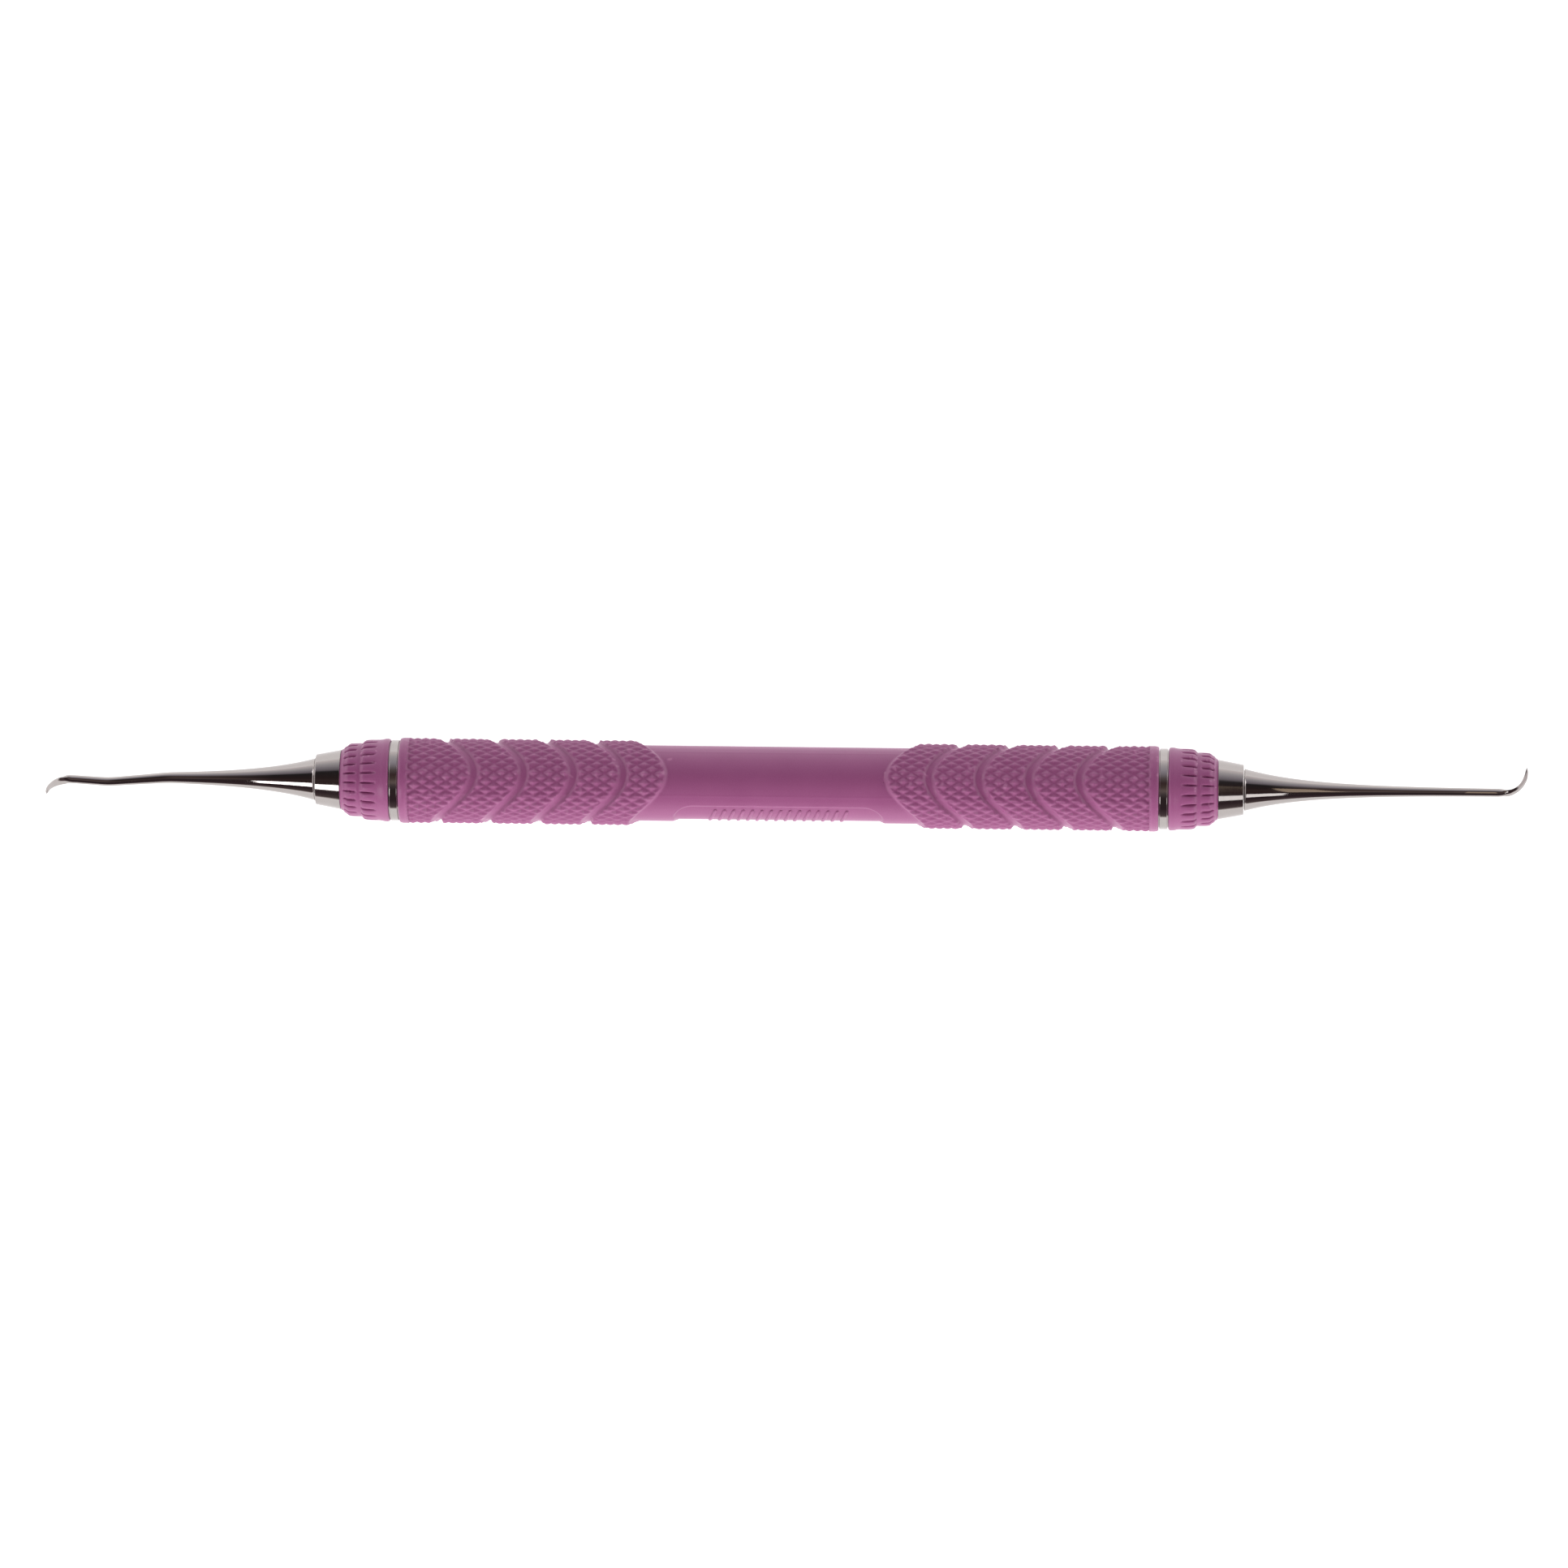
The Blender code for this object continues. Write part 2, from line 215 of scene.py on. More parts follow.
def around_axis(station, radius, angle):
    """Points at these stations, radii and angles, as an array with a last axis of 3."""
    station, radius, angle = np.broadcast_arrays(station, radius, angle)
    x = AXIS.x + station
    y = AXIS.y + radius * np.sin(angle)
    z = AXIS.z + radius * np.cos(angle)
    return np.stack([x, y, z], axis=-1)


def ring_faces(rows, columns, closed):
    """Quads between the rows of a tube, facing out, as corner indices into its points row by row."""
    row = np.arange(rows if closed else rows - 1)
    column = np.arange(columns)
    row, column = np.meshgrid(row, column, indexing="ij")
    beside = (column + 1) % columns
    ahead = (row + 1) % rows
    near, far = row * columns, ahead * columns
    quads = np.stack([near + column, far + column, far + beside, near + beside], axis=-1)
    return quads.reshape(-1, 4)


def best_triangles(points, quads):
    """Splits each quad along its shorter diagonal, so that cut edges stay crisp."""
    corners = points.reshape(-1, 3)[quads]
    across = np.linalg.norm(corners[:, 0] - corners[:, 2], axis=1)
    along = np.linalg.norm(corners[:, 1] - corners[:, 3], axis=1)
    first = np.where((across <= along)[:, None], quads[:, [0, 1, 2]], quads[:, [0, 1, 3]])
    second = np.where((across <= along)[:, None], quads[:, [0, 2, 3]], quads[:, [1, 2, 3]])
    return np.concatenate([first, second])


def smooth_min(a, b, width):
    """The lower of two surfaces, with the corner between them rounded over width."""
    blend = np.clip(0.5 + 0.5 * (b - a) / width, 0, 1)
    return b + (a - b) * blend - width * blend * (1 - blend)


def smooth_step(low, high, value):
    """0 up to low and 1 from high, with a soft rise between."""
    share = np.clip((value - low) / (high - low), 0, 1)
    return share * share * (3 - 2 * share)


# Grip sleeve


def wave(angle, end):
    """How far a groove runs back from its crest line towards the handle's end, at this angle."""
    swing = WAVE_AMPLITUDE * (1 - np.cos(2 * (angle - WAVE_CREST_ANGLE)))
    return swing - WAVE_LEAN * np.sin(angle) - RIGHT_WAVE_SHIFT * (end > 0)


def turn_from(angle, origin):
    """The turn from origin to this angle, between half a turn back and half a turn on."""
    return np.arctan2(np.sin(angle - origin), np.cos(angle - origin))


def knurl(station, angle):
    """Height of the diamond texture, 0 in its grooves and 1 on its peaks."""
    lower_half = turn_from(angle, PARTING_ANGLES[0]) < 0
    along = (station - KNURL_PEAK) / KNURL_PITCH + 0.5 + MOULD_SHIFT * lower_half
    around = angle * KNURL_COUNT / (2 * math.pi) + 0.5 - MOULD_SHIFT * lower_half
    one, other = along + around, along - around
    from_groove = np.minimum(np.abs(one - np.round(one)), np.abs(other - np.round(other))) * 2
    softened = np.sqrt(from_groove**2 + PEAK_SOFTNESS**2) - PEAK_SOFTNESS
    return smooth_min(softened, 0.84 + 0 * softened, PEAK_SOFTNESS) / 0.84


def parting_lines(angle):
    """Fine raised lines where the mould's parts met."""
    height = 0 * angle
    for line in PARTING_ANGLES:
        away = np.abs(turn_from(angle, line)) * WAIST_R
        height = height + PARTING_HEIGHT * np.exp(-((away / PARTING_HALF_WIDTH) ** 2))
    return height


def panel_recess(station, angle):
    """Depth of the recessed panel here, a rounded rectangle wrapped round the waist."""
    turn = np.abs(turn_from(angle, PANEL_ANGLE))
    across = turn * WAIST_R - (PANEL_HALF_ARC * WAIST_R - PANEL_CORNER)
    along = np.abs(station) - (PANEL_HALF_LENGTH - PANEL_CORNER)
    outside = np.hypot(np.maximum(across, 0), np.maximum(along, 0))
    outside = outside + np.minimum(np.maximum(across, along), 0) - PANEL_CORNER
    return PANEL_DEPTH * smooth_step(0, PANEL_EDGE, -outside)


def textured_radius(line, station, angle):
    """Radius of the textured zone. line is the distance from the middle along the crest of the waves."""
    valley = GRIP_R - KNURL_DEPTH
    land = valley + KNURL_DEPTH * knurl(station, angle)
    rise = smooth_step(-0.15 * LAND_SLOPE, LAND_SLOPE, line - LAND_EDGE)
    envelope = WAIST_R + (GRIP_R - WAIST_R) * rise
    skew = GROOVE_SKEW * (1 - np.cos(2 * (angle - WAVE_CREST_ANGLE))) / 2
    for i in range(WAVE_COUNT):
        away = line - (FIRST_WAVE + i * WAVE_PITCH)
        half_width = np.where(away < 0, GROOVE_HALF_WIDTH - skew, GROOVE_HALF_WIDTH + skew)
        steep = np.where(away < 0, INNER_WALL, OUTER_WALL)
        channel = GRIP_R - GROOVE_DEPTH + GROOVE_DEPTH * np.abs(away / half_width) ** steep
        envelope = np.minimum(envelope, channel)
    return smooth_min(land, envelope, 0.06 * MM)


def grip_half(angles, end):
    """(stations, radii) of one half of the grip, from the middle to its end."""
    first_line = LAND_EDGE - 0.12 * MM
    last_line = FIRST_WAVE + (WAVE_COUNT - 1) * WAVE_PITCH + GROOVE_HALF_WIDTH + 2 * GROOVE_SKEW
    band_start = GRIP_END - END_BAND
    stations, radii = [], []

    def add(station, radius):
        stations.append(station + 0 * angles)
        radii.append(radius + 0 * angles)

    def add_waist(station):
        add(station, WAIST_R - panel_recess(station, angles) + parting_lines(angles))

    corner = PANEL_HALF_LENGTH - PANEL_CORNER
    for station in np.linspace(0.4 * MM, corner, MIDDLE_ROWS, endpoint=False):
        add_waist(station)
    panel_out = PANEL_HALF_LENGTH + 0.06 * MM
    for station in np.linspace(corner, panel_out, PANEL_END_ROWS):
        add_waist(station)
    for share in (0.2, 0.45, 0.7, 0.9):
        add_waist(panel_out + (first_line + wave(angles, end) - panel_out) * share)
    for line in np.linspace(first_line, last_line, GROOVE_ROWS):
        station = line + wave(angles, end)
        add(station, textured_radius(line, station, angles) + parting_lines(angles))
    for share in np.linspace(0, 1, LAND_ROWS + 1)[1:]:
        station = last_line + wave(angles, end)
        station = station + (band_start - 0.03 * MM - station) * share
        land = GRIP_R - KNURL_DEPTH + KNURL_DEPTH * knurl(station, angles)
        add(station, land + parting_lines(angles))
    for station in np.linspace(band_start, GRIP_END - END_ROUND[0], 3):
        add(station, GRIP_R + parting_lines(angles) / 2)
    for turn in np.linspace(0, math.pi / 2, 6)[1:]:
        along = GRIP_END - END_ROUND[0] * (1 - math.sin(turn))
        add(along, GRIP_R - END_ROUND[1] * (1 - math.cos(turn)))
    add(GRIP_END, BORE_R)
    return np.array(stations), np.array(radii)


def make_grip():
    """The whole sleeve, from its bore at one end over the outside to its bore at the other."""
    columns = KNURL_COUNT * COLUMNS_PER_DIAMOND
    angles = -math.pi / 2 + 2 * math.pi * np.arange(columns) / columns
    left_stations, left_radii = grip_half(angles, -1)
    right_stations, right_radii = grip_half(angles, 1)
    both_stations = np.concatenate([-left_stations[::-1], right_stations])
    both_radii = np.concatenate([left_radii[::-1], right_radii])
    points = around_axis(both_stations, both_radii, angles)
    points[..., 2] = np.maximum(points[..., 2], 0)
    quads = ring_faces(len(both_stations), columns, closed=True)
    return add_mesh("moulded_grip", points, best_triangles(points, quads))


# A pip's section (across, up), and its swelling along its length (along, share)
PIP_SECTION = [(-1, -0.5), (-0.8, 0.62), (-0.45, 1), (0.45, 1), (0.8, 0.62), (1, -0.5)]
PIP_SWELL = [
    (-1.0, 0.3),
    (-0.93, 0.75),
    (-0.8, 1.0),
    (-0.4, 1.0),
    (0, 1.0),
    (0.4, 1.0),
    (0.8, 1.0),
    (0.93, 0.75),
    (1.0, 0.3),
]


def pip_points(middle):
    """Sections over one slanted pip that stands on the panel's floor at this station."""
    floor = WAIST_R - PANEL_DEPTH
    points = []
    for along, swell in PIP_SWELL:
        run = along * PIP_HALF_LENGTH
        for across, up in PIP_SECTION:
            station = middle + across * PIP_HALF_WIDTH * swell + PIP_SLANT * run
            height = up * PIP_HEIGHT * (1 if up < 0 else swell)
            points.append(around_axis(station, floor + height, PIP_ANGLE + run / floor))
    return points


def pip_faces(start):
    corners = len(PIP_SECTION)
    faces = []
    for ring in range(len(PIP_SWELL) - 1):
        near = start + ring * corners
        far = near + corners
        for corner in range(corners):
            beside = (corner + 1) % corners
            faces.append((near + corner, near + beside, far + beside, far + corner))
    last = start + (len(PIP_SWELL) - 1) * corners
    for cap in ([start + 5 - i for i in range(corners)], [last + i for i in range(corners)]):
        faces.append((cap[0], cap[1], cap[2], cap[3]))
        faces.append((cap[0], cap[3], cap[4], cap[5]))
    return faces


def make_panel_pips():
    """A plain row of slanted raised pips in the panel, for thumb and finger to find."""
    points, faces = [], []
    for i in range(PIP_COUNT):
        faces += pip_faces(len(points))
        points += pip_points((i - (PIP_COUNT - 1) / 2) * PIP_SPACING)
    return add_mesh("panel_pips", np.array(points), faces, math.radians(50))


# Nose sleeves


# In mm: (distance from the sleeve's rear face, radius) over the bosses, and at the bottom of the slots
NOSE_CREST = [
    (0, 4.42), (0.03, 4.5), (0.12, 4.6), (0.3, 4.64), (0.6, 4.62), (0.9, 4.55),
    (1.2, 4.51), (2.2, 4.5), (2.6, 4.47), (2.85, 4.41), (2.98, 4.33), (3.1, 4.15),
    (3.2, 4.08), (3.5, 4.1), (4.2, 4.08), (4.5, 4.05), (4.68, 3.98), (4.8, 3.86),
    (4.95, 3.74), (5.12, 3.66), (5.22, 3.5), (5.3, 3.42), (5.42, 3.4), (5.45, 3.37),
]
NOSE_SLOT = [
    (0, 4.8), (1.3, 4.52), (1.6, 4.34), (2.1, 4.13), (2.6, 4.03), (2.95, 4.0),
    (3.2, 4.08), (3.55, 4.1), (3.8, 3.86), (4.2, 3.7), (4.6, 3.62), (4.9, 3.56),
    (5.1, 3.62), (5.2, 3.6), (5.45, 3.5),
]


def nose_profile(depth):
    """(radius over the bosses, radius at the bottom of the slots) at this distance from the rear face."""
    crest, slot = np.array(NOSE_CREST) * MM, np.array(NOSE_SLOT) * MM
    at = depth * crest[-1, 0] / (NOSE_END - NOSE_START)
    return np.interp(at, crest[:, 0], crest[:, 1]), np.interp(at, slot[:, 0], slot[:, 1])


def make_nose_sleeve(side, end):
    """A collar and two rows of bosses, with a lower step that reaches close to the ferrule."""
    columns = BOSS_COUNT * COLUMNS_PER_BOSS
    angles = 2 * math.pi * np.arange(columns) / columns
    length = NOSE_END - NOSE_START
    edge = 0.3 * MM
    depths = np.concatenate([np.linspace(0, edge, 7)[:-1], np.linspace(edge, length, SLEEVE_ROWS)])
    crest, floor = nose_profile(depths)
    soft = np.convolve(np.pad(crest, 1, mode="edge"), np.ones(3) / 3, mode="valid")
    crest = np.where(depths > 0.35 * MM, soft, crest)
    share = np.abs(turn_from((angles - FIRST_SLOT[side]) * BOSS_COUNT, 0)) / math.pi
    slot = 0.84 * np.exp(-((share / SLOT_SHARE) ** 2)) + 0.16 * (1 - share)
    cut = np.maximum(crest - floor, 0)[:, None] * slot[None, :]
    radii = crest[:, None] - cut
    stations = end * (NOSE_START + depths)[:, None] + 0 * radii
    bore = np.full((1, columns), BORE_R)
    lip = stations[-1:] + end * STEP_REACH
    stations = np.concatenate([stations, stations[-1:], lip, lip, stations[:1]])
    radii = np.concatenate([radii, 0 * bore + LIP_R, 0 * bore + LIP_R, bore, bore])
    points = around_axis(stations, radii, angles[None, :])
    quads = ring_faces(len(radii), columns, closed=True)
    if end < 0:
        quads = quads[:, ::-1]
    return add_mesh(f"{side}_ribbed_nose", points, quads, math.radians(60))


# Turned steel


def rounded_profile(corners, steps=5):
    """Rounds each corner (station, radius, rounding) of a closed outline with an arc-like curve."""
    outline = []
    count = len(corners)
    for i, (x, r, rounding) in enumerate(corners):
        here = np.array([x, r])
        before = np.array(corners[i - 1][:2]) - here
        after = np.array(corners[(i + 1) % count][:2]) - here
        if rounding == 0:
            outline.append(here)
            continue
        start = here + before / np.linalg.norm(before) * rounding
        stop = here + after / np.linalg.norm(after) * rounding
        for t in np.linspace(0, 1, steps):
            outline.append((1 - t) ** 2 * start + 2 * t * (1 - t) * here + t**2 * stop)
    return with_holding_edges(outline)


def with_holding_edges(outline, margin=0.03 * MM):
    """Adds a point close to each end of the long straights, so that they shade as straight throughout."""
    held = []
    for here, after in zip(outline, outline[1:] + outline[:1]):
        held.append(here)
        length = np.linalg.norm(after - here)
        if length > 5 * margin:
            run = (after - here) / length * margin
            held += [here + run, after - run]
    return np.array(held)


def make_turned(name, corners, end):
    """Turns an outline of (station, radius, rounding) corners about the axis."""
    outline = rounded_profile(corners)
    angles = 2 * math.pi * np.arange(TURNED_SIDES) / TURNED_SIDES
    points = around_axis(end * outline[:, :1], outline[:, 1:], angles[None, :])
    quads = ring_faces(len(outline), TURNED_SIDES, closed=True)
    if end < 0:
        quads = quads[:, ::-1]
    return add_mesh(name, points, quads, math.radians(40))


def make_spacer_ring(side, end):
    """A narrow polished band, with a lower step on each side that reaches close to its neighbours."""
    radius = RING_R + RING_PROUD
    step_radius = radius - RING_STEP
    corners = [
        (RING_START - STEP_REACH, BORE_R, 0),
        (RING_START - STEP_REACH, step_radius, 0),
        (RING_START, step_radius, 0),
        (RING_START, radius, RING_ROUND),
        (RING_END, radius, RING_ROUND),
        (RING_END, step_radius, 0),
        (RING_END + STEP_REACH, step_radius, 0),
        (RING_END + STEP_REACH, BORE_R, 0),
    ]
    return make_turned(f"{side}_polished_ring", corners, end)


def make_ferrule(side, end):
    """A turned socket: spigot in the tube, neck under the nose sleeve, cone outside."""
    shoulder = TUBE_END + CLEARANCE
    cone_start = NOSE_END + CLEARANCE
    bore = TANG_R + CLEARANCE
    corners = [
        (SPIGOT_END, bore, 0),
        (SPIGOT_END, SPIGOT_R, 0.2 * MM),
        (shoulder, SPIGOT_R, 0),
        (shoulder, NECK_R, 0),
        (cone_start, NECK_R, 0),
        (cone_start, CONE_BASE_R, 0.03 * MM),
        (FERRULE_FACE, CONE_TIP_R, 0.07 * MM),
        (FERRULE_FACE, bore, 0.05 * MM),
    ]
    return make_turned(f"{side}_turned_ferrule", corners, end)


# Working ends


def shank_offset(x, hook_start):
    """Sideways offset of the shank: straight runs between its bends."""
    first = FERRULE_FACE + FIRST_BEND
    second = hook_start - SECOND_BEND
    return np.interp(x, [first, second, hook_start], [0, OFFSET_OUT, OFFSET_BACK])


def rounded_offset(x, hook_start):
    """The same offset with its bends rounded, as a weighted mean over a short run."""
    runs = np.linspace(-BEND_ROUNDING, BEND_ROUNDING, 15)
    weights = 1 - np.abs(runs / BEND_ROUNDING) * 0.7
    spread = np.stack([shank_offset(x + run, hook_start) for run in runs])
    return (spread * weights[:, None]).sum(axis=0) / weights.sum()


def shank_radius(x):
    run = np.maximum(x - FERRULE_FACE - CLEARANCE, 0)
    return SHANK_R + (SHANK_ROOT_R - SHANK_R) * np.exp(-run / FLARE_LENGTH)


def hook_curve(length, steps=400):
    """(share, x, y, heading) of points along the hook, whose turn is sharpest half way."""
    share = np.linspace(0, 1, steps + 1)
    heading = HOOK_TURN * smooth_step(0, 1, share)
    middle = (heading[1:] + heading[:-1]) / 2
    x = np.concatenate([[0], np.cumsum(np.cos(middle))]) * length / steps
    y = np.concatenate([[0], np.cumsum(np.sin(middle))]) * length / steps
    return share, x, y, heading


def hook_start_for(reach, length):
    """Where the hook leaves the shank, so that the back of its blade ends at reach."""
    share, x, _, heading = hook_curve(length)
    back = -blade_section(np.linspace(0, 2 * math.pi, 49)[None, :], share[:, None])[0].min(axis=1)
    overhang = back * np.interp(share, BLADE[:, 0], BLADE[:, 1]) * SHANK_R * np.sin(heading)
    return reach - np.max(x + overhang)


def tip_line(hook_start, length, hand):
    """Points from the shank's root to the blade's point, and each one's share of the hook."""
    root = FERRULE_FACE + CLEARANCE
    straight = root + (hook_start - root) * np.linspace(0, 1, SHANK_ROWS)[:-1] ** SHANK_CROWDING
    hook_share = np.linspace(0, 1, HOOK_ROWS)
    share, curve_x, curve_y, _ = hook_curve(length)
    x = np.concatenate([straight, hook_start + np.interp(hook_share, share, curve_x)])
    y = np.concatenate([0 * straight, np.interp(hook_share, share, curve_y)])
    z = hand * rounded_offset(x, hook_start)
    return np.stack([x, y, z], axis=-1), np.concatenate([0 * straight, hook_share])


def blade_section(turn, share):
    """Corners (towards the face, across) for each turn, 2 apart at most: round, then three-sided."""
    ground = smooth_step(GROUND_FROM, GROUND_BY, share) * GROUND_FLATNESS
    third = 2 * math.pi / 3
    nearest_side = np.max([np.cos(turn), np.cos(turn - third), np.cos(turn + third)], axis=0)
    radius = 1 - ground * (1 - 0.5 / nearest_side)
    towards, across = radius * np.cos(turn), radius * np.sin(turn)
    face = towards.max(axis=1, keepdims=True)
    back = towards.min(axis=1, keepdims=True)
    return towards / (face - back) * 2, across / across.max(axis=1, keepdims=True)


def tip_shell(reach, length, hand, turn):
    """Rings of points over the shank and the blade."""
    hook_start = hook_start_for(reach, length)
    line, share = tip_line(hook_start, length, hand)
    tangent = np.gradient(line, axis=0)
    tangent = tangent / np.linalg.norm(tangent, axis=1)[:, None]
    face = np.cross([0.0, 0.0, 1.0], tangent)
    face = face / np.linalg.norm(face, axis=1)[:, None]
    across = np.cross(tangent, face)
    radius = shank_radius(np.minimum(line[:, 0], hook_start))
    height = radius * np.interp(share, BLADE[:, 0], BLADE[:, 1])
    width = radius * np.interp(share, BLADE[:, 0], BLADE[:, 2])
    n, b = blade_section(turn[None, :], share[:, None])
    n, b = n * height[:, None], b * width[:, None]
    return line[:, None, :] + face[:, None, :] * n[..., None] + across[:, None, :] * b[..., None]


def capped_triangles(points):
    """(points, triangles) of a tube of rings, with a fan over each end."""
    sides = points.shape[1]
    quads = ring_faces(len(points), sides, closed=False)
    flat = np.concatenate([points.reshape(-1, 3), [points[0].mean(axis=0), points[-1].mean(axis=0)]])
    first_middle, last_middle = len(flat) - 2, len(flat) - 1
    last_ring = first_middle - sides
    here = np.arange(sides)
    beside = (here + 1) % sides
    start_cap = np.stack([0 * here + first_middle, here, beside], axis=-1)
    end_cap = np.stack([0 * here + last_middle, last_ring + beside, last_ring + here], axis=-1)
    return flat, np.concatenate([quads[:, [0, 1, 2]], quads[:, [0, 2, 3]], start_cap, end_cap])


def make_tip(side):
    """Forged shank and blade in one piece, with its tang and a lower step at its root."""
    reach, length, hand = TIPS[side]
    turn = 2 * math.pi * np.arange(TIP_SIDES) / TIP_SIDES
    root = FERRULE_FACE + CLEARANCE
    step, step_radius = root - STEP_REACH, SHANK_ROOT_R - ROOT_STEP
    profile = [(root - TANG_LENGTH, TANG_R), (step, TANG_R), (step, step_radius), (root, step_radius)]
    profile.append((root, SHANK_ROOT_R - ROOT_CHAMFER))
    rings = []
    for x, radius in profile:
        rings.append(np.stack([0 * turn + x, radius * np.cos(turn), radius * np.sin(turn)], axis=-1))
    shell = tip_shell(reach, length, hand, turn)
    shell[0, :, 0] += ROOT_CHAMFER
    points, triangles = capped_triangles(np.concatenate([np.array(rings), shell]))
    obj = add_mesh(f"{side}_forged_tip", points, triangles[:, ::-1], math.radians(38))
    place = Matrix.Translation(AXIS)
    if side == "left":
        place = place @ Matrix.Rotation(LEFT_ROLL, 4, "X") @ Matrix.Rotation(math.pi, 4, "Z")
    obj.data.transform(place)
    return obj


# Materials


def new_material(name):
    material = bpy.data.materials.new(name)
    material.use_nodes = True
    nodes = material.node_tree.nodes
    return material, nodes, material.node_tree.links, nodes["Principled BSDF"]


def noise_of(nodes, links, vector, scale, detail=3.0, roughness=0.55):
    noise = nodes.new("ShaderNodeTexNoise")
    noise.inputs["Scale"].default_value = scale
    noise.inputs["Detail"].default_value = detail
    noise.inputs["Roughness"].default_value = roughness
    links.new(vector, noise.inputs["Vector"])
    return noise.outputs["Fac"]


def object_place(nodes, links, stretch=(1, 1, 1)):
    """Object coordinates, in metres, stretched per axis."""
    coordinates = nodes.new("ShaderNodeTexCoord")
    mapping = nodes.new("ShaderNodeMapping")
    mapping.inputs["Scale"].default_value = stretch
    links.new(coordinates.outputs["Object"], mapping.inputs["Vector"])
    return mapping.outputs["Vector"]


def to_range(nodes, links, value, low, high, start=0.0, stop=1.0):
    ramp = nodes.new("ShaderNodeMapRange")
    ramp.inputs["From Min"].default_value = start
    ramp.inputs["From Max"].default_value = stop
    ramp.inputs["To Min"].default_value = low
    ramp.inputs["To Max"].default_value = high
    links.new(value, ramp.inputs["Value"])
    return ramp.outputs["Result"]


def mix_colors(nodes, links, factor, first, second):
    mix = nodes.new("ShaderNodeMix")
    mix.data_type = "RGBA"
    links.new(factor, mix.inputs["Factor"])
    for socket, value in ((mix.inputs[6], first), (mix.inputs[7], second)):
        if isinstance(value, tuple):
            socket.default_value = value
        else:
            links.new(value, socket)
    return mix.outputs[2]


def bump_of(nodes, links, height, strength, distance, under=None):
    bump = nodes.new("ShaderNodeBump")
    bump.inputs["Strength"].default_value = strength
    bump.inputs["Distance"].default_value = distance
    links.new(height, bump.inputs["Height"])
    if under is not None:
        links.new(under, bump.inputs["Normal"])
    return bump.outputs["Normal"]


def make_resin():
    """Satin moulded resin: orchid purple, a fine eroded mould grain, paler on convex edges for wear and a
    painted highlight, darker in hollows with painted shade.
    """
    material, nodes, links, shader = new_material("orchid_resin")
    place = object_place(nodes, links)
    cloud = noise_of(nodes, links, place, 240, 2.0)
    grain = noise_of(nodes, links, place, 9000, 3.0, 0.6)
    deep, pale = (0.325, 0.082, 0.222, 1), (0.375, 0.105, 0.262, 1)
    body = mix_colors(nodes, links, cloud, deep, pale)
    speckle = to_range(nodes, links, grain, 0.0, 0.25, 0.35, 0.75)
    body = mix_colors(nodes, links, speckle, body, (0.46, 0.15, 0.33, 1))
    geometry = nodes.new("ShaderNodeNewGeometry")
    # Paler on convex edges: partly wear, partly a painted highlight along the edges.
    wear_and_edge_highlight = to_range(nodes, links, geometry.outputs["Pointiness"], 0.0, 0.55, 0.52, 0.62)
    body = mix_colors(nodes, links, wear_and_edge_highlight, body, (0.56, 0.22, 0.42, 1))
    # Painted shade: darker purple in concave hollows such as the slots and grooves.
    painted_hollow_shade = to_range(nodes, links, geometry.outputs["Pointiness"], 0.65, 0.0, 0.38, 0.49)
    body = mix_colors(nodes, links, painted_hollow_shade, body, (0.19, 0.03, 0.12, 1))
    links.new(body, shader.inputs["Base Color"])
    links.new(to_range(nodes, links, grain, 0.30, 0.42), shader.inputs["Roughness"])
    fine = bump_of(nodes, links, grain, 0.2, 0.03 * MM)
    links.new(fine, shader.inputs["Normal"])
    shader.inputs["IOR"].default_value = 1.5
    return material


def make_steel(name, color, roughness, stretch, grain_scale, bump_height):
    """Polished steel whose fine marks run the way the stretch says."""
    material, nodes, links, shader = new_material(name)
    shader.inputs["Metallic"].default_value = 1.0
    marks = noise_of(nodes, links, object_place(nodes, links, stretch), grain_scale, 4.0, 0.65)
    smudges = noise_of(nodes, links, object_place(nodes, links), 700, 3.0)
    links.new(
        mix_colors(nodes, links, smudges, tuple(c * 0.92 for c in color) + (1,), color + (1,)),
        shader.inputs["Base Color"],
    )
    low, high = roughness
    links.new(to_range(nodes, links, marks, low, high, 0.3, 0.7), shader.inputs["Roughness"])
    links.new(bump_of(nodes, links, marks, 0.4, bump_height), shader.inputs["Normal"])
    return material


def paint(obj, material):
    obj.data.materials.clear()
    obj.data.materials.append(material)


# Camera and studio


def place_camera():
    """Looks straight down on the lying instrument, as the view shows both ends in one plane."""
    width = 175.2 * MM
    distance = 1.2
    yaw = math.radians(2.4)
    roll = math.radians(0.655)
    target = Vector((AXIS.x + 0.54 * MM, AXIS.y + 0.065 * MM, AXIS.z))
    data = bpy.data.cameras.new("camera")
    data.sensor_width = 36
    data.lens = data.sensor_width * distance / width
    data.clip_end = 20
    camera = bpy.data.objects.new("camera", data)
    towards_camera = Vector((math.sin(yaw), 0, math.cos(yaw)))
    up = Vector((-math.sin(roll), math.cos(roll), 0))
    right = up.cross(towards_camera).normalized()
    up = towards_camera.cross(right)
    turn = Matrix((right, up, towards_camera)).transposed().to_4x4()
    camera.matrix_world = Matrix.Translation(target + towards_camera * distance) @ turn
    bpy.context.scene.collection.objects.link(camera)
    bpy.context.scene.camera = camera


def add_softbox(name, place, size, radiance, color=(1, 1, 1), mirrored=True, facing=0.0):
    """A rectangular light of this radiance that faces the axis at a station. Gloss mirrors it or not."""
    data = bpy.data.lights.new(name, "AREA")
    data.shape = "RECTANGLE"
    data.size, data.size_y = size
    data.energy = radiance * math.pi * size[0] * size[1]
    data.color = color
    light = bpy.data.objects.new(name, data)
    place = Vector(place)
    light.location = place
    light.visible_glossy = mirrored
    faced = AXIS + Vector((facing, 0, 0))
    light.rotation_euler = (faced - place).to_track_quat("-Z", "Y").to_euler()
    bpy.context.scene.collection.objects.link(light)


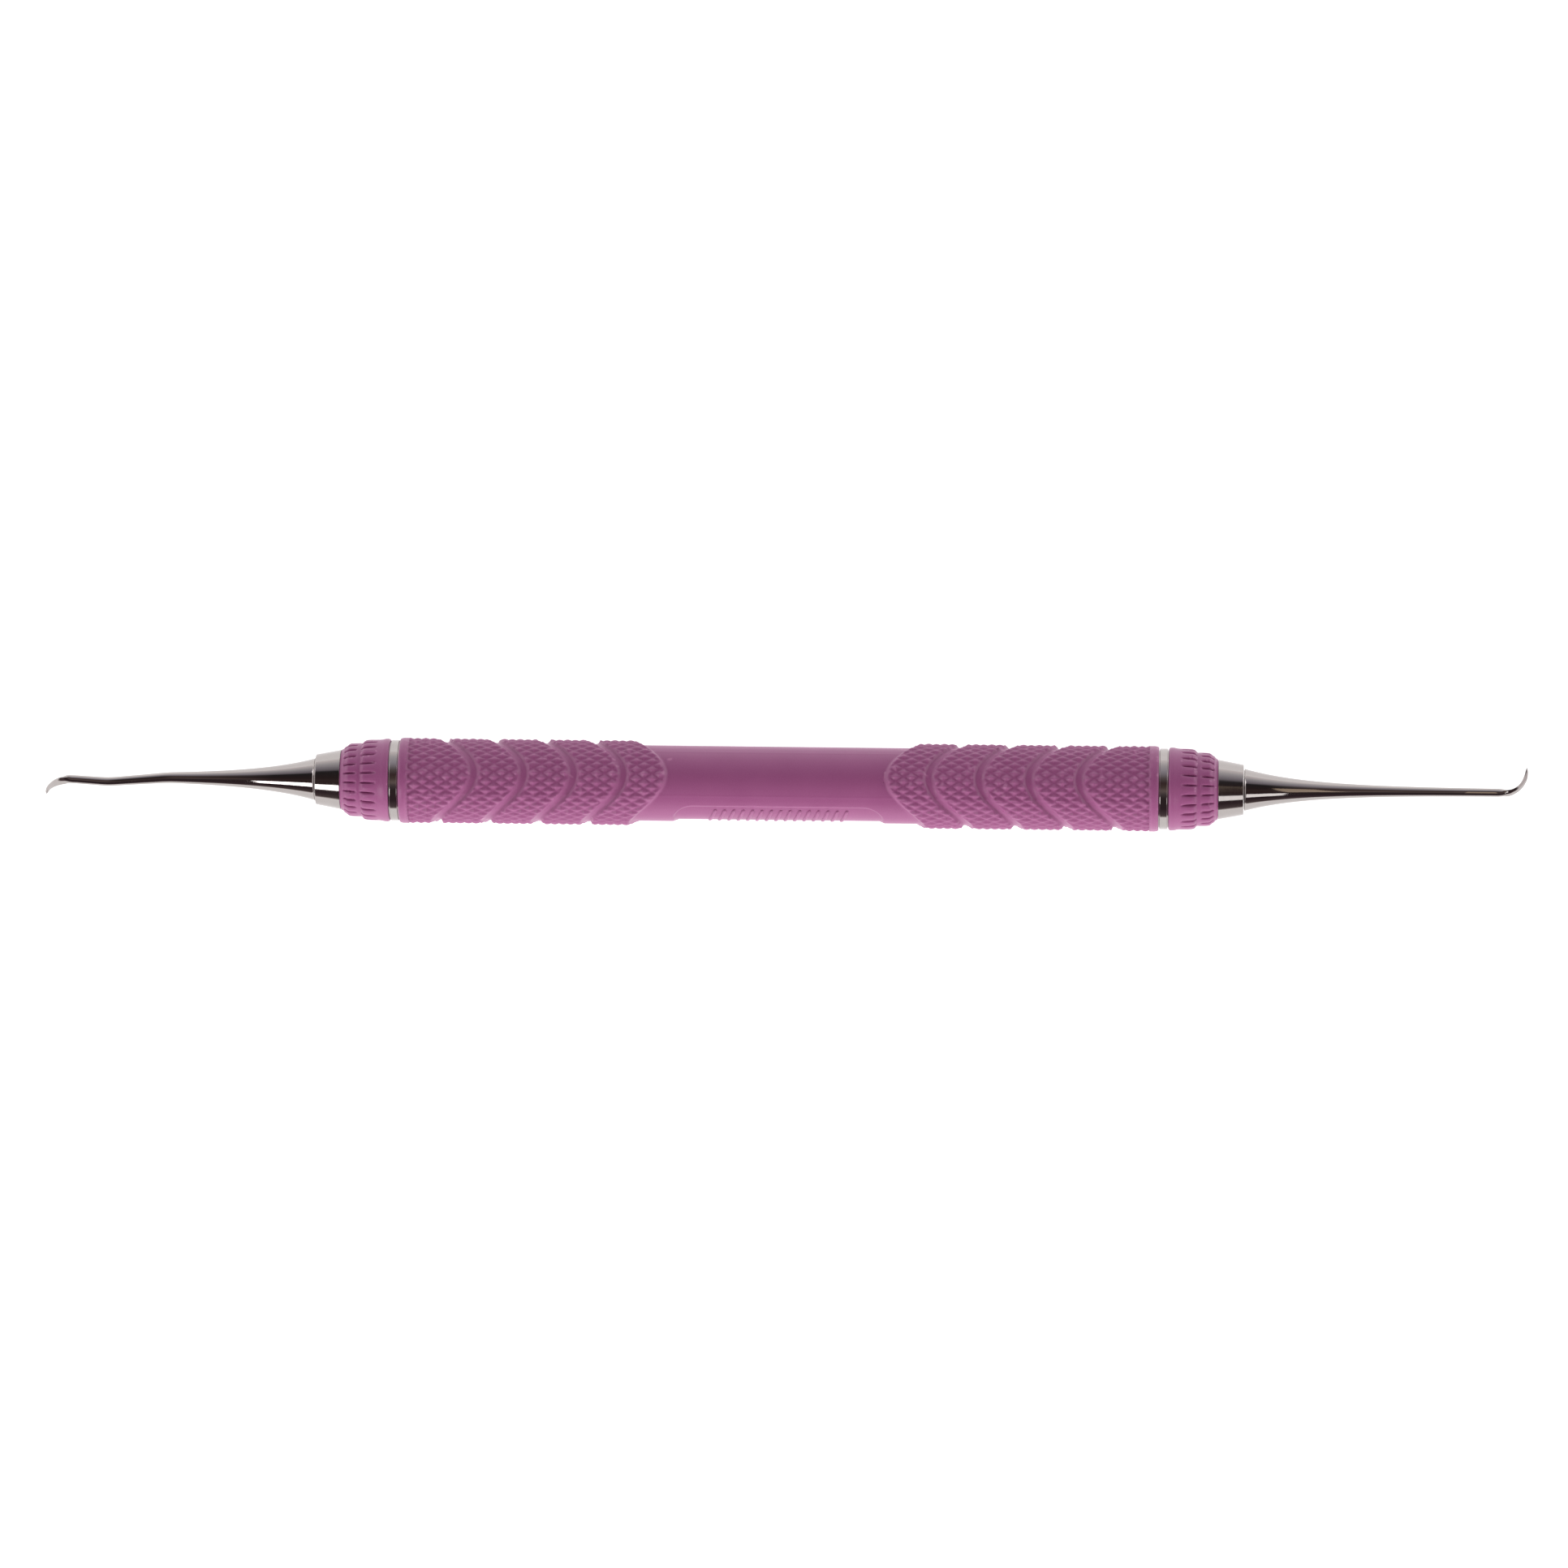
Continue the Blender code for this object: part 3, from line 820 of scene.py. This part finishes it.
# What stands round the table, by the angle from straight up, in degrees towards +Y: (angle, colour)
OVERHEAD = [
    (-90, (1.08, 1.02, 1.00)),
    (-85, (0.14, 0.10, 0.11)),
    (-60, (0.05, 0.031, 0.038)),
    (-28, (0.05, 0.036, 0.038)),
    (-16, (0.10, 0.08, 0.085)),
    (-6, (0.22, 0.17, 0.16)),
    (4, (0.11, 0.08, 0.07)),
    (16, (0.075, 0.045, 0.047)),
    (30, (0.16, 0.135, 0.135)),
    (50, (0.46, 0.44, 0.50)),
    (70, (0.69, 0.68, 0.71)),
    (90, (1.13, 1.08, 1.08)),
]
BESIDE = [
    (-90, (1.08, 1.02, 1.00)),
    (-84, (0.12, 0.09, 0.09)),
    (-60, (0.05, 0.031, 0.038)),
    (-10, (0.05, 0.03, 0.03)),
    (-6, (0.06, 0.04, 0.04)),
    (4, (0.04, 0.026, 0.026)),
    (34, (0.028, 0.026, 0.028)),
    (42, (0.24, 0.22, 0.25)),
    (50, (0.34, 0.32, 0.36)),
    (70, (0.64, 0.63, 0.66)),
    (90, (1.10, 1.05, 1.05)),
]

END_WALL = (0.95, 0.90, 0.91, 1)  # beyond the ends of the handle


def angle_ramp(nodes, links, place, stops):
    ramp = nodes.new("ShaderNodeValToRGB")
    links.new(place, ramp.inputs["Fac"])
    elements = ramp.color_ramp.elements
    while len(elements) < len(stops):
        elements.new(0.5)
    for element, (degrees, color) in zip(elements, stops):
        element.position = (degrees + 90) / 180
        element.color = (*color, 1)
    return ramp.outputs["Color"]


def make_world():
    """A dark ceiling that brightens towards the pale wall behind, with pale walls beyond both ends."""
    world = bpy.data.worlds.new("studio")
    world.use_nodes = True
    nodes, links = world.node_tree.nodes, world.node_tree.links
    coordinates = nodes.new("ShaderNodeTexCoord")
    parts = nodes.new("ShaderNodeSeparateXYZ")
    links.new(coordinates.outputs["Generated"], parts.inputs["Vector"])
    angle = nodes.new("ShaderNodeMath")
    angle.operation = "ARCTAN2"
    links.new(parts.outputs["Y"], angle.inputs[0])
    links.new(parts.outputs["Z"], angle.inputs[1])
    place = to_range(nodes, links, angle.outputs["Value"], 0, 1, -math.pi / 2, math.pi / 2)
    sideways = nodes.new("ShaderNodeMath")
    sideways.operation = "ABSOLUTE"
    links.new(parts.outputs["X"], sideways.inputs[0])
    beside = to_range(nodes, links, sideways.outputs["Value"], 0, 1, 0.12, 0.36)
    far_out = to_range(nodes, links, sideways.outputs["Value"], 0, 1, 0.60, 0.75)
    overhead_color = angle_ramp(nodes, links, place, OVERHEAD)
    beside_color = angle_ramp(nodes, links, place, BESIDE)
    color = mix_colors(nodes, links, beside, overhead_color, beside_color)
    color = mix_colors(nodes, links, far_out, color, END_WALL)
    links.new(color, nodes["Background"].inputs["Color"])
    bpy.context.scene.world = world


def make_floor():
    """A white sweep that lights itself, so that it shows hardly any shadow."""
    half = 3.0
    corners = [(-half, -half, 0), (half, -half, 0), (half, half, 0), (-half, half, 0)]
    floor = add_mesh("floor", corners, [(0, 1, 2, 3)])
    material, nodes, links, shader = new_material("pale_sweep")
    place = object_place(nodes, links)
    shade = noise_of(nodes, links, place, 3, 2.0)
    color = mix_colors(nodes, links, shade, (0.30, 0.30, 0.30, 1), (0.31, 0.31, 0.31, 1))
    links.new(color, shader.inputs["Base Color"])
    shader.inputs["Roughness"].default_value = 0.9
    shader.inputs["Emission Color"].default_value = (1, 1, 1, 1)
    shader.inputs["Emission Strength"].default_value = 1.0
    paint(floor, material)


def place_lights():
    """Keys that the cones and flares mirror, fills that nothing mirrors, back lights and a warm strip."""
    add_softbox("left_key_light", (-0.585, -0.59, 0.82), (0.43, 0.40), 4.4, facing=-0.585)
    add_softbox("right_key_light", (0.53, -0.61, 0.82), (0.36, 0.36), 1.5, facing=0.53)
    add_softbox("right_fill", (0.40, -0.61, 0.82), (0.33, 0.36), 2.2, mirrored=False)
    add_softbox("front_fill", (0, -1.0, 0.25), (1.4, 0.4), 4.5, mirrored=False)
    for end in (-1, 1):
        add_softbox("back_light", (end * 0.80, 0.50, 0.40), (0.45, 0.45), 1.4)
    add_softbox("warm_strip", (0.375, -0.05, 1.3), (0.75, 0.22), 0.45, (1.0, 0.82, 0.6))


def main():
    place_camera()
    resin = make_resin()
    turned = make_steel("turned_steel", STEEL_COLOR, (0.06, 0.13), (1, 0.02, 0.02), 16000, 0.004 * MM)
    forged = make_steel("polished_steel", STEEL_COLOR, (0.02, 0.07), (0.03, 1, 1), 14000, 0.002 * MM)
    tube_color = (0.52, 0.51, 0.49)
    drawn = make_steel("drawn_tube_steel", tube_color, (0.25, 0.45), (0.02, 1, 1), 12000, 0.006 * MM)
    made = [
        (make_grip(), "grip_sleeve", resin, "resin"),
        (make_panel_pips(), None, resin, "resin"),
        (make_nose_sleeve("left", -1), "left_nose_sleeve", resin, "resin"),
        (make_nose_sleeve("right", 1), "right_nose_sleeve", resin, "resin"),
        (make_spacer_ring("left", -1), "left_spacer_ring", turned, "polished_steel"),
        (make_spacer_ring("right", 1), "right_spacer_ring", turned, "polished_steel"),
        (make_ferrule("left", -1), "left_ferrule", turned, "polished_steel"),
        (make_ferrule("right", 1), "right_ferrule", turned, "polished_steel"),
        (make_tip("left"), "left_tip", forged, "polished_steel"),
        (make_tip("right"), "right_tip", forged, "polished_steel"),
    ]
    for piece, node, material, slot in made:
        paint(piece, material)
        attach(piece, "root")
        if node:
            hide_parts(node)
    paint(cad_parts["core_tube"], drawn)
    make_floor()
    make_world()
    place_lights()
    bpy.context.scene.view_settings.view_transform = "Standard"


main()
